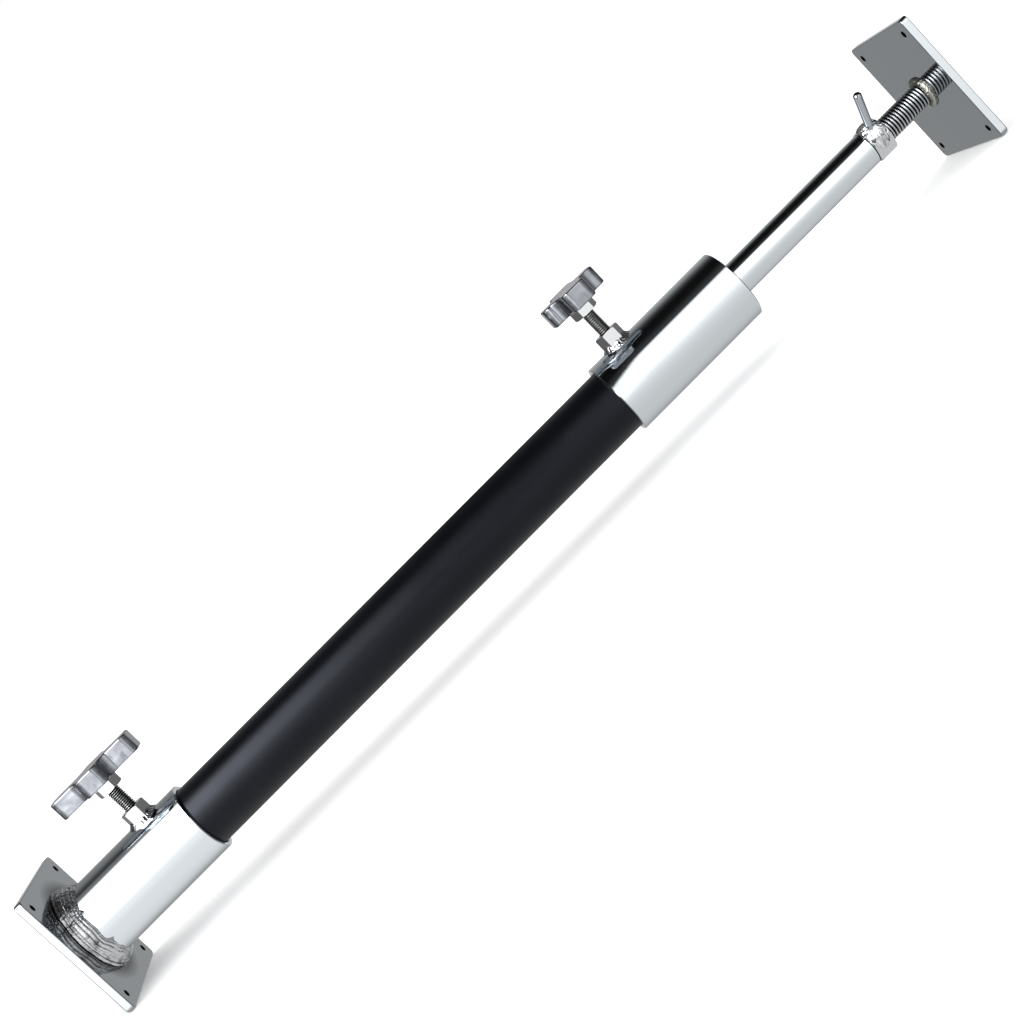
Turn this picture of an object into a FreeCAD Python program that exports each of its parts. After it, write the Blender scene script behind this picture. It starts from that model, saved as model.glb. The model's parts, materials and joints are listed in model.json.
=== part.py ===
import FreeCAD, Part
import os
import Sketcher
from FreeCAD import Placement, Rotation, Vector

# Pull up bar that is clamped between two walls.  +X runs along the bar from the base plate to the
# end plate, +Z points to the side of the two clamp knobs, and the origin is the centre of the base
# plate's wall face.  All sizes are in millimetres.
#
# A black grip bar slides in two chrome sleeves: the wall socket, welded to the base plate, and the
# reducer sleeve, which carries a thinner tube.  A screw with a lobed knob clamps the bar in each
# sleeve.  A nut with a welded lever bears on the thin tube's end and drives a threaded rod, whose
# welded end plate is jacked against the second wall.

DRIVING = (
    ("plate_side", 103.0, "side of each square wall plate"),
    ("plate_thickness", 6.0, "thickness of each wall plate"),
    ("plate_corner", 3.5, "corner radius of the wall plates"),
    ("plate_edge", 0.8, "rounding along the plates' outlines"),
    ("screw_inset", 9.5, "screw hole centres from the plates' sides"),
    ("screw_hole", 5.0, "diameter of the wall screw holes"),
    ("bar_outer", 48.3, "outside diameter of the grip bar"),
    ("bar_wall", 2.9, "wall of the grip bar"),
    ("bar_visible", 401.0, "grip bar between the two sleeves"),
    ("bar_in_socket", 69.0, "grip bar hidden in the wall socket"),
    ("bar_in_sleeve", 57.0, "grip bar hidden in the reducer sleeve"),
    ("slide_gap", 0.35, "radial gap between the grip bar and each sleeve"),
    ("sleeve_wall", 3.5, "wall of the wall socket and the reducer sleeve"),
    ("socket_length", 109.0, "wall socket from plate to rim"),
    ("sleeve_length", 113.0, "reducer sleeve from rim to rim"),
    ("rim_break", 0.6, "bevel on the rims of the tubes"),
    ("socket_clamp_back", 29.0, "socket clamp screw from the socket's rim"),
    ("sleeve_clamp_back", 27.0, "sleeve clamp screw from the sleeve's rim"),
    ("bush_length", 20.0, "reducer bush along the bar"),
    ("bush_recess", 3.5, "reducer bush behind the sleeve's outer rim"),
    ("thin_wall", 2.5, "wall of the thin tube"),
    ("thin_visible", 131.0, "thin tube outside the reducer sleeve"),
    ("thin_tail", 10.0, "thin tube behind the reducer bush"),
    ("rod_diameter", 18.0, "diameter of the threaded rod over its crests"),
    ("rod_gap", 1.0, "radial gap between the threaded rod and the thin tube"),
    ("rod_length", 195.0, "length of the threaded rod"),
    ("rod_visible", 39.8, "threaded rod between the lever nut and the end plate"),
    ("rod_point", 1.5, "bevel on the threaded rod's hidden end"),
    ("thread_play", 0.05, "radial clearance of each screw in its nut"),
    ("nut_wall", 3.5, "least wall of every nut round its screw"),
    ("nut_height", 15.0, "height of the lever nut"),
    ("nut_gap", 0.3, "lever nut from the thin tube's end"),
    ("lever_diameter", 6.0, "diameter of the lever"),
    ("lever_reach", 50.0, "lever tip from the bar's axis"),
    ("lever_lean", 45.0, "lever direction from +Z towards -Y, in degrees"),
    ("stud_diameter", 10.0, "diameter of the clamp screws over their crests"),
    ("stud_visible", 17.7, "clamp screw between its boss and its lock nut"),
    ("stud_hole_gap", 0.5, "radial gap round a clamp screw in the sleeve's wall"),
    ("boss_height", 11.0, "boss nuts above the sleeve's crown"),
    ("boss_sink", 4.0, "boss nuts below the sleeve's crown, before the saddle cut"),
    ("lock_height", 7.6, "height of the lock nuts"),
    ("nut_bevel", 1.2, "bevel at the corners of every nut"),
    ("knob_length", 70.0, "clamp knob over its long arms"),
    ("knob_width", 46.0, "clamp knob over its short arms"),
    ("knob_arm", 20.0, "width of each arm of the clamp knob"),
    ("knob_thickness", 14.3, "thickness of the clamp knob"),
    ("knob_valley", 7.0, "radius of the hollows between the knob's arms"),
    ("knob_corner", 5.0, "radius of the corners of the knob's arms"),
    ("knob_edge", 1.2, "rounding along the knob's outline"),
    ("knob_bore_depth", 10.0, "depth of the screw in the knob"),
    ("pad_inset", 1.0, "pressure pads' sides inside the clamp screws' crests"),
    ("pad_thickness", 4.0, "thickness of the pressure pads"),
    ("pad_gap", 0.3, "pressure pads from the grip bar"),
    ("pad_lift", 0.1, "clamp screw's shoulder above its pressure pad"),
    ("pad_wall", 1.5, "wall of the pressure pads round their spigots"),
    ("spigot_length", 2.4, "length of the spigot that holds each pressure pad"),
    ("base_weld_up", 13.0, "socket weld along the socket"),
    ("base_weld_out", 6.5, "socket weld across the base plate"),
    ("rod_weld_leg", 3.2, "rod weld along the rod and across the end plate"),
    ("bush_weld_leg", 3.0, "thin tube weld on the reducer bush"),
    ("boss_weld_up", 3.5, "boss weld above the sleeve's crown"),
    ("boss_weld_out", 3.6, "boss weld outside the boss nut's corners"),
    ("lever_weld_out", 4.2, "lever weld outside the lever"),
    ("lever_weld_up", 3.5, "lever weld above the nut's flat"),
)

# Places and radii that follow from the driving sizes.
DERIVED = (
    ("bar_radius", "Dim.bar_outer / 2"),
    ("bar_bore", "Dim.bar_outer / 2 - Dim.bar_wall"),
    ("sleeve_bore", "Dim.bar_outer / 2 + Dim.slide_gap"),
    ("sleeve_radius", "Dim.bar_outer / 2 + Dim.slide_gap + Dim.sleeve_wall"),
    ("bar_length", "Dim.bar_in_socket + Dim.bar_visible + Dim.bar_in_sleeve"),
    ("bar_start", "Dim.plate_thickness + Dim.socket_length - Dim.bar_in_socket"),
    ("socket_rim", "Dim.plate_thickness + Dim.socket_length"),
    ("sleeve_rim", "Dim.plate_thickness + Dim.socket_length + Dim.bar_visible"),
    ("sleeve_end", "sleeve_rim + Dim.sleeve_length"),
    ("socket_clamp", "socket_rim - Dim.socket_clamp_back"),
    ("sleeve_clamp", "sleeve_rim + Dim.sleeve_clamp_back"),
    ("bush_end", "sleeve_end - Dim.bush_recess"),
    ("bush_start", "bush_end - Dim.bush_length"),
    ("rod_radius", "Dim.rod_diameter / 2"),
    ("thin_bore", "rod_radius + Dim.rod_gap"),
    ("thin_radius", "thin_bore + Dim.thin_wall"),
    ("thin_start", "bush_start - Dim.thin_tail"),
    ("thin_end", "sleeve_end + Dim.thin_visible"),
    ("thin_length", "thin_end - thin_start"),
    ("nut_start", "thin_end + Dim.nut_gap"),
    ("nut_end", "nut_start + Dim.nut_height"),
    ("end_plate_face", "nut_end + Dim.rod_visible"),
    ("rod_start", "end_plate_face - Dim.rod_length"),
    ("nut_corner", "(rod_radius + Dim.nut_wall) / cos(30 deg)"),
    ("stud_radius", "Dim.stud_diameter / 2"),
    ("boss_corner", "(stud_radius + Dim.nut_wall) / cos(30 deg)"),
    ("pad_radius", "stud_radius - Dim.pad_inset"),
    ("spigot_radius", "pad_radius - Dim.pad_wall"),
    ("pad_bottom", "bar_radius + Dim.pad_gap"),
    ("pad_top", "pad_bottom + Dim.pad_thickness"),
    ("stud_shoulder", "pad_top + Dim.pad_lift"),
    ("boss_bottom", "sleeve_radius - Dim.boss_sink"),
    ("boss_top", "sleeve_radius + Dim.boss_height"),
    ("lock_bottom", "boss_top + Dim.stud_visible"),
    ("knob_bottom", "lock_bottom + Dim.lock_height"),
    ("valley_room", "(min(Dim.knob_length; Dim.knob_width) - Dim.knob_arm) / 2 - Dim.knob_corner"),
    ("valley_radius", "min(Dim.knob_valley; valley_room * 0.95)"),
)

WELD_BULGE = 0.62        # how far a weld's face stands out, as a share of its legs
LONG_TOOL = "4 * Place.sleeve_radius"


def fill_sheets(doc):
    """The driving sizes as plain numbers, and the places worked out from them."""
    dim = doc.addObject("Spreadsheet::Sheet", "Dim")
    for row, (alias, value, meaning) in enumerate(DRIVING, start=1):
        dim.set(f"A{row}", meaning)
        dim.set(f"B{row}", str(value))
        dim.setAlias(f"B{row}", alias)
    place = doc.addObject("Spreadsheet::Sheet", "Place")
    for row, (alias, formula) in enumerate(DERIVED, start=1):
        place.set(f"B{row}", "=" + formula)
        place.setAlias(f"B{row}", alias)
    doc.recompute()


def number(doc, expression):
    """An expression's value now, as a plain number."""
    value = doc.Dim.evalExpression(expression)
    return float(getattr(value, "Value", value))


def drive(item, **bindings):
    """Bind properties of an object to expressions; a double underscore stands for a dot."""
    for path, expression in bindings.items():
        item.setExpression(path.replace("__", "."), expression)


def new_body(doc, name):
    body = doc.addObject("PartDesign::Body", name)
    body.Label = name
    return body


def new_sketch(body, plane, name):
    """A sketch on one of the body's own origin planes."""
    sketch = body.newObject("Sketcher::SketchObject", name)
    for feature in body.Origin.OriginFeatures:
        if feature.Role == plane:
            sketch.AttachmentSupport = [(feature, "")]
    sketch.MapMode = "FlatFace"
    return sketch


def fix_point(doc, sketch, line, along, across):
    """Hold the start of a line at a place given by two expressions."""
    for kind, axis, expression in (("DistanceX", -2, along), ("DistanceY", -1, across)):
        if expression == "0":
            sketch.addConstraint(Sketcher.Constraint("PointOnObject", line, 1, axis))
            continue
        value = number(doc, expression)
        index = sketch.addConstraint(Sketcher.Constraint(kind, -1, 1, line, 1, value))
        sketch.setExpression(f"Constraints[{index}]", expression)


def draw_outline(doc, sketch, points):
    """A closed outline of straight lines whose corners are pairs of expressions."""
    corners = [Vector(number(doc, a), number(doc, b), 0) for a, b in points]
    count = len(corners)
    for index in range(count):
        sketch.addGeometry(Part.LineSegment(corners[index], corners[(index + 1) % count]), False)
    for index in range(count):
        following = (index + 1) % count
        sketch.addConstraint(Sketcher.Constraint("Coincident", index, 2, following, 1))
    for index, (along, across) in enumerate(points):
        fix_point(doc, sketch, index, along, across)


def draw_circle(doc, sketch, along, across, radius):
    """A circle whose centre and radius are expressions."""
    centre = Vector(number(doc, along), number(doc, across), 0)
    circle = sketch.addGeometry(Part.Circle(centre, Vector(0, 0, 1), number(doc, radius)), False)
    for kind, axis, expression in (("DistanceX", -2, along), ("DistanceY", -1, across)):
        if expression == "0":
            sketch.addConstraint(Sketcher.Constraint("PointOnObject", circle, 3, axis))
            continue
        value = number(doc, expression)
        index = sketch.addConstraint(Sketcher.Constraint(kind, -1, 1, circle, 3, value))
        sketch.setExpression(f"Constraints[{index}]", expression)
    size = sketch.addConstraint(Sketcher.Constraint("Radius", circle, number(doc, radius)))
    sketch.setExpression(f"Constraints[{size}]", radius)


def turned(doc, name, axis, points):
    """A piece turned about the sketch's axis: H_Axis is X and V_Axis is Z."""
    body = new_body(doc, name)
    sketch = new_sketch(body, "XZ_Plane", name + "_profile")
    draw_outline(doc, sketch, points)
    turn = body.newObject("PartDesign::Revolution", name + "_turn")
    turn.Profile = sketch
    turn.ReferenceAxis = (sketch, [axis])
    turn.Angle = 360
    sketch.Visibility = False
    return body


def tube_profile(length, bore, radius):
    """A straight tube's half section, with its rims bevelled inside and outside."""
    bevel = "Dim.rim_break"
    return (
        (bevel, bore),
        (f"{length} - {bevel}", bore),
        (length, f"{bore} + {bevel}"),
        (length, f"{radius} - {bevel}"),
        (f"{length} - {bevel}", radius),
        (bevel, radius),
        ("0", f"{radius} - {bevel}"),
        ("0", f"{bore} + {bevel}"),
    )


def make_tube(doc, name, start, length, bore, radius):
    body = turned(doc, name, "H_Axis", tube_profile(length, bore, radius))
    drive(body, Placement__Base__x=start)
    return body


def drill_up(doc, body, along, radius, depth):
    """A round hole from the XY plane upwards, in a body whose own frame it is given in."""
    before = body.Tip
    sketch = new_sketch(body, "XY_Plane", body.Name + "_hole")
    draw_circle(doc, sketch, along, "0", radius)
    hole = body.newObject("PartDesign::Pocket", body.Name + "_drill")
    hole.Profile = sketch
    hole.Reversed = True
    drive(hole, Length=depth)
    doc.recompute()
    if not hole.Shape.Volume < before.Shape.Volume:
        raise RuntimeError(f"the hole in {body.Name} removes nothing")
    sketch.Visibility = False


def edge_names(shape, wanted):
    """The names of the edges that pass a test on their middle point and direction."""
    names = []
    for index, edge in enumerate(shape.Edges, start=1):
        middle = edge.valueAt((edge.FirstParameter + edge.LastParameter) / 2)
        direction = edge.tangentAt((edge.FirstParameter + edge.LastParameter) / 2)
        if wanted(middle, direction):
            names.append(f"Edge{index}")
    return names


def round_edges(doc, body, name, radius, wanted):
    """A fillet on the body's tip, on the edges that pass a test."""
    doc.recompute()
    base = body.Tip
    fillet = body.newObject("PartDesign::Fillet", name)
    fillet.Base = (base, edge_names(base.Shape, wanted))
    fillet.Radius = number(doc, radius)
    drive(fillet, Radius=radius)
    doc.recompute()
    return fillet


def wall_plate(doc, name, start):
    """A square plate across X with rounded corners and a screw hole near each corner."""
    body = new_body(doc, name)
    half = "Dim.plate_side / 2"
    outline = new_sketch(body, "YZ_Plane", name + "_outline")
    draw_outline(doc, outline, ((f"-{half}", f"-{half}"), (half, f"-{half}"), (half, half), (f"-{half}", half)))
    pad = body.newObject("PartDesign::Pad", name + "_pad")
    pad.Profile = outline
    drive(pad, Length="Dim.plate_thickness")
    round_edges(doc, body, name + "_corners", "Dim.plate_corner", lambda p, d: abs(d.x) > 0.9)
    thick = number(doc, "Dim.plate_thickness")
    at_face = lambda p, d: abs(d.x) < 0.1 and (abs(p.x) < 0.01 or abs(p.x - thick) < 0.01)
    round_edges(doc, body, name + "_edges", "Dim.plate_edge", at_face)

    corner = f"{half} - Dim.screw_inset"
    holes = new_sketch(body, "YZ_Plane", name + "_hole")
    draw_circle(doc, holes, corner, corner, "Dim.screw_hole / 2")
    drill = body.newObject("PartDesign::Pocket", name + "_drill")
    drill.Profile = holes
    drill.Reversed = True
    drive(drill, Length="Dim.plate_thickness")
    doc.recompute()
    solid_volume = body.Tip.Shape.Volume
    four = body.newObject("PartDesign::PolarPattern", name + "_four_holes")
    four.Originals = [drill]
    four.Axis = (holes, ["N_Axis"])
    four.Angle = 360
    four.Occurrences = 4
    body.Tip = four
    doc.recompute()
    if not four.Shape.Volume < solid_volume:
        raise RuntimeError(f"the holes in {name} remove nothing")
    drive(body, Placement__Base__x=start)
    return body


def hex_blank(doc, name, corner, bottom, top, bore):
    """A nut's body along Z: a hexagon, corners on X, within a bevelled blank with its bore."""
    prism = doc.addObject("Part::Prism", name + "_hexagon")
    prism.Polygon = 6
    drive(prism, Circumradius=corner, Height=f"{top} - {bottom}", Placement__Base__z=bottom)
    bevel = "Dim.nut_bevel"
    drop = f"{bevel} * tan(30 deg)"
    blank = turned(doc, name + "_blank", "V_Axis", (
        (bore, bottom),
        (f"{corner} - {bevel}", bottom),
        (corner, f"{bottom} + {drop}"),
        (corner, f"{top} - {drop}"),
        (f"{corner} - {bevel}", top),
        (f"{bore} + Dim.rim_break", top),
        (bore, f"{top} - Dim.rim_break"),
    ))
    return prism, blank


def boolean(doc, kind, name, base, tool):
    """A Part::Cut or Part::Common of two objects."""
    result = doc.addObject(f"Part::{kind}", name)
    result.Label = name
    result.Base = base
    result.Tool = tool
    return result


def along_x(doc, name, radius, length, start):
    """A plain cylinder along X, used to cut a saddle."""
    cylinder = doc.addObject("Part::Cylinder", name)
    cylinder.Placement = Placement(Vector(0, 0, 0), Rotation(Vector(0, 1, 0), 90))
    drive(cylinder, Radius=radius, Height=length, Placement__Base__x=start)
    return cylinder


def boss_nut(doc, prefix):
    """The threaded boss, cut to sit on the sleeve, and the weld that holds it."""
    crown = along_x(doc, prefix + "_boss_saddle", "Place.sleeve_radius", LONG_TOOL,
                    "-Place.sleeve_radius * 2")
    corner = "Place.boss_corner"
    prism, blank = hex_blank(doc, prefix + "_boss", corner, "Place.boss_bottom", "Place.boss_top",
                             "Place.stud_radius + Dim.thread_play")
    nut = boolean(doc, "Common", prefix + "_boss_hex", prism, blank)
    boss = boolean(doc, "Cut", prefix + "_boss_nut", nut, crown)

    weld_top = "Place.sleeve_radius + Dim.boss_weld_up"
    bead = turned(doc, prefix + "_boss_bead", "V_Axis", (
        ("0", "Place.boss_bottom"),
        (f"{corner} + Dim.boss_weld_out", "Place.boss_bottom"),
        (f"{corner} + Dim.boss_weld_out", "Place.sleeve_radius - Dim.boss_weld_out / 2"),
        (f"{corner} + Dim.boss_weld_out / 3", "Place.sleeve_radius + Dim.boss_weld_up / 3"),
        (corner, weld_top),
        ("0", weld_top),
    ))
    hollow = boolean(doc, "Cut", prefix + "_boss_ring", bead, prism)
    weld = boolean(doc, "Cut", prefix + "_boss_weld", hollow, crown)
    return boss, weld


def pressure_pad(doc, prefix):
    """The pad that presses on the grip bar, with a socket for the screw's spigot."""
    socket_radius = "Place.spigot_radius + Dim.thread_play"
    socket_floor = "Place.pad_top - Dim.spigot_length"
    below = "Place.pad_bottom - Dim.pad_thickness / 2"
    blank = turned(doc, prefix + "_pad_blank", "V_Axis", (
        ("0", below),
        ("Place.pad_radius", below),
        ("Place.pad_radius", "Place.pad_top"),
        (socket_radius, "Place.pad_top"),
        (socket_radius, socket_floor),
        ("0", socket_floor),
    ))
    saddle = along_x(doc, prefix + "_pad_saddle", "Place.pad_bottom", LONG_TOOL,
                     "-Place.sleeve_radius * 2")
    return boolean(doc, "Cut", prefix + "_pressure_pad", blank, saddle)


def clamp_screw(doc, prefix):
    """The clamp screw: a spigot in the pad, a threaded shank and its end in the knob."""
    spigot = "Place.spigot_radius"
    tip = "Place.stud_shoulder - Dim.spigot_length"
    top = "Place.knob_bottom + Dim.knob_bore_depth"
    return turned(doc, prefix + "_clamp_screw", "V_Axis", (
        ("0", tip),
        (spigot, tip),
        (spigot, "Place.stud_shoulder"),
        ("Place.stud_radius - Dim.rim_break", "Place.stud_shoulder"),
        ("Place.stud_radius", "Place.stud_shoulder + Dim.rim_break"),
        ("Place.stud_radius", top),
        ("0", top),
    ))


def lock_nut(doc, prefix):
    """The nut that locks the knob on its screw."""
    prism, blank = hex_blank(doc, prefix + "_lock", "Place.boss_corner", "Place.lock_bottom",
                             "Place.knob_bottom", "Place.stud_radius + Dim.thread_play")
    return boolean(doc, "Common", prefix + "_lock_nut", prism, blank)


def knob_arm(doc, body, name, length):
    """Two opposite arms of the knob, as one bar across its middle."""
    end = f"{length} / 2"
    side = "Dim.knob_arm / 2"
    corners = ((f"-{end}", f"-{side}"), (end, f"-{side}"), (end, side), (f"-{end}", side))
    if length == "Dim.knob_width":
        corners = tuple((across, along) for along, across in corners)
    sketch = new_sketch(body, "XY_Plane", name + "_outline")
    draw_outline(doc, sketch, corners)
    pad = body.newObject("PartDesign::Pad", name)
    pad.Profile = sketch
    drive(pad, Length="Dim.knob_thickness")


def clamp_knob(doc, prefix, quarter_turns):
    """A cast knob with two long and two short arms and hollows between them."""
    name = prefix + "_clamp_knob"
    body = new_body(doc, name)
    knob_arm(doc, body, prefix + "_long_arms", "Dim.knob_length")
    knob_arm(doc, body, prefix + "_short_arms", "Dim.knob_width")
    arm = number(doc, "Dim.knob_arm") / 2
    top = number(doc, "Dim.knob_thickness")
    upright = lambda d: abs(d.z) > 0.9
    inner = lambda p: abs(abs(p.x) - arm) < 0.01 and abs(abs(p.y) - arm) < 0.01
    round_edges(doc, body, prefix + "_valleys", "Place.valley_radius", lambda p, d: upright(d) and inner(p))
    ends = (number(doc, "Dim.knob_length") / 2, number(doc, "Dim.knob_width") / 2)
    outer = lambda p: abs(abs(p.x) - ends[0]) < 0.01 or abs(abs(p.y) - ends[1]) < 0.01
    round_edges(doc, body, prefix + "_ends", "Dim.knob_corner", lambda p, d: upright(d) and outer(p))
    flat = lambda p, d: abs(d.z) < 0.1 and (abs(p.z) < 0.01 or abs(p.z - top) < 0.01)
    round_edges(doc, body, prefix + "_rims", "Dim.knob_edge", flat)
    drill_up(doc, body, "0", "Place.stud_radius + Dim.thread_play", "Dim.knob_bore_depth")
    body.Placement = Placement(Vector(0, 0, 0), Rotation(Vector(0, 0, 1), 90 * quarter_turns))
    drive(body, Placement__Base__z="Place.knob_bottom")
    return body


def clamp(doc, prefix, at, quarter_turns):
    """One clamp: boss nut, weld, pressure pad, screw, lock nut and knob, moved to its sleeve."""
    pieces = [*boss_nut(doc, prefix), pressure_pad(doc, prefix), clamp_screw(doc, prefix),
              lock_nut(doc, prefix), clamp_knob(doc, prefix, quarter_turns)]
    for piece in pieces:
        drive(piece, Placement__Base__x=at)
    return pieces


def sleeve_tube(doc, name, start, length, clamp_at):
    """A chrome sleeve with a hole through its crown for the clamp screw."""
    body = make_tube(doc, name, start, length, "Place.sleeve_bore", "Place.sleeve_radius")
    doc.recompute()
    hole = "Place.stud_radius + Dim.stud_hole_gap"
    drill_up(doc, body, f"{clamp_at} - {start}", hole, "Place.sleeve_radius * 1.2")
    return body


def corner_weld(doc, name, at, radius, up, out, towards):
    """A rounded fillet of weld round a tube, from a flat face towards +X (1) or -X (-1)."""
    sign = "" if towards > 0 else "-"
    body = turned(doc, name, "H_Axis", (
        ("0", radius),
        (f"{sign}{up}", radius),
        (f"{sign}{up} * {WELD_BULGE}", f"{radius} + {out} * {WELD_BULGE}"),
        ("0", f"{radius} + {out}"),
    ))
    drive(body, Placement__Base__x=at)
    return body


def reducer_bush(doc):
    """The turned bush that carries the thin tube in the reducer sleeve."""
    bevel = "Dim.rim_break"
    length = "Dim.bush_length"
    body = turned(doc, "reducer_bush", "H_Axis", (
        ("0", "Place.thin_radius"),
        (length, "Place.thin_radius"),
        (length, "Place.sleeve_bore"),
        (bevel, "Place.sleeve_bore"),
        ("0", f"Place.sleeve_bore - {bevel}"),
    ))
    drive(body, Placement__Base__x="Place.bush_start")
    return body


def threaded_rod(doc):
    """The jacking screw, drawn plain at its crest diameter, with a bevelled hidden end."""
    body = turned(doc, "threaded_rod", "H_Axis", (
        ("0", "0"),
        ("Dim.rod_length", "0"),
        ("Dim.rod_length", "Place.rod_radius"),
        ("Dim.rod_point", "Place.rod_radius"),
        ("0", "Place.rod_radius - Dim.rod_point"),
    ))
    drive(body, Placement__Base__x="Place.rod_start")
    return body


def lever_blank(doc, name, radius, start, tip):
    """A round bar along Z with a domed end, leant over to the lever's direction."""
    body = turned(doc, name, "V_Axis", (
        ("0", start),
        (radius, start),
        (radius, f"{tip} - {radius} * 0.5"),
        (f"{radius} * 0.8", f"{tip} - {radius} * 0.15"),
        (f"{radius} * 0.4", tip),
        ("0", tip),
    ))
    lean_to_lever(doc, body)
    return body


def lean_to_lever(doc, body):
    """Lean a piece from +Z towards -Y and move it to the middle of the lever nut."""
    body.Placement = Placement(Vector(0, 0, 0), Rotation(Vector(1, 0, 0), 1))
    drive(body, Placement__Rotation__Angle="Dim.lever_lean",
          Placement__Base__x="Place.nut_start + Dim.nut_height / 2")


def lever_nut(doc):
    """The adjusting nut with its flats on Z, its welded lever and the lever's weld."""
    bore = "Place.rod_radius + Dim.thread_play"
    prism, blank = hex_blank(doc, "adjusting", "Place.nut_corner", "0", "Dim.nut_height", bore)
    upright = Rotation(Vector(0, 1, 0), 90) * Rotation(Vector(0, 0, 1), 90)
    for piece in (prism, blank):
        piece.Placement = Placement(Vector(0, 0, 0), upright)
        drive(piece, Placement__Base__x="Place.nut_start")
    nut = boolean(doc, "Common", "adjusting_nut", prism, blank)

    start = "Place.rod_radius * 0.7"
    lever_radius = "Dim.lever_diameter / 2"
    bar = lever_blank(doc, "lever_bar", lever_radius, start, "Dim.lever_reach")
    lever = boolean(doc, "Cut", "nut_lever", bar, prism)
    collar = f"{lever_radius} + Dim.lever_weld_out"
    reach = "Place.nut_corner + Dim.lever_weld_up"
    bead = turned(doc, "lever_bead", "V_Axis", (
        ("0", start),
        (collar, start),
        (collar, f"{reach} - Dim.lever_weld_up * 1.1"),
        (f"{lever_radius} + Dim.lever_weld_out * 0.4", f"{reach} - Dim.lever_weld_up * 0.4"),
        (lever_radius, reach),
        ("0", reach),
    ))
    lean_to_lever(doc, bead)
    around = boolean(doc, "Cut", "lever_bead_ring", bead, bar)
    weld = boolean(doc, "Cut", "lever_weld", around, prism)
    return nut, lever, weld


def build(doc):
    """Every sub-part of the bar, from the base plate to the end plate."""
    fill_sheets(doc)
    parts = [
        wall_plate(doc, "base_plate", "0"),
        sleeve_tube(doc, "wall_socket", "Dim.plate_thickness", "Dim.socket_length", "Place.socket_clamp"),
        corner_weld(doc, "socket_weld", "Dim.plate_thickness", "Place.sleeve_radius",
                    "Dim.base_weld_up", "Dim.base_weld_out", 1),
        make_tube(doc, "grip_bar", "Place.bar_start", "Place.bar_length", "Place.bar_bore",
                  "Place.bar_radius"),
        sleeve_tube(doc, "reducer_sleeve", "Place.sleeve_rim", "Dim.sleeve_length", "Place.sleeve_clamp"),
        reducer_bush(doc),
        make_tube(doc, "thin_tube", "Place.thin_start", "Place.thin_length", "Place.thin_bore",
                  "Place.thin_radius"),
        corner_weld(doc, "thin_tube_weld", "Place.bush_end", "Place.thin_radius",
                    "Dim.bush_weld_leg", "Dim.bush_weld_leg", 1),
        threaded_rod(doc),
        corner_weld(doc, "rod_weld", "Place.end_plate_face", "Place.rod_radius",
                    "Dim.rod_weld_leg", "Dim.rod_weld_leg", -1),
        wall_plate(doc, "end_plate", "Place.end_plate_face"),
    ]
    parts += clamp(doc, "socket", "Place.socket_clamp", 0)
    parts += clamp(doc, "sleeve", "Place.sleeve_clamp", 1)
    parts += lever_nut(doc)
    doc.recompute()
    return parts


def check(doc, parts):
    """Stop if any feature failed or any sub-part isn't one valid solid."""
    for item in doc.Objects:
        if any(word in item.State for word in ("Invalid", "Error")):
            raise RuntimeError(f"{item.Name} failed: {item.State}")
    for part in parts:
        shape = part.Shape
        if shape.isNull() or not shape.isValid() or len(shape.Solids) != 1:
            raise RuntimeError(f"{part.Label} isn't one valid solid")


def write(parts):
    """One STEP file for each sub-part, named after it."""
    os.makedirs("parts", exist_ok=True)
    for part in parts:
        part.Shape.exportStep(f"parts/{part.Label}.step")
        box = part.Shape.BoundBox
        print(f"{part.Label}: {part.Shape.Volume / 1000:.2f} cm3, "
              f"x {box.XMin:.1f} to {box.XMax:.1f}, z {box.ZMin:.1f} to {box.ZMax:.1f}")


document = FreeCAD.newDocument("PullUpBar")
sub_parts = build(document)
check(document, sub_parts)
write(sub_parts)
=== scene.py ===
"""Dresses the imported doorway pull-up bar for a studio picture.

The frame holds every solid part at its real size. This script gives those parts their finishes and adds
what a plain solid can't show: cut threads, rippled weld beads and soft studio light. Lengths are metres.
"""

from __future__ import annotations

import dataclasses
import json
import logging
import math
from dataclasses import dataclass
from enum import Enum
from typing import Any, ClassVar

import bmesh
import bpy
from mathutils import Matrix, Vector

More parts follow.
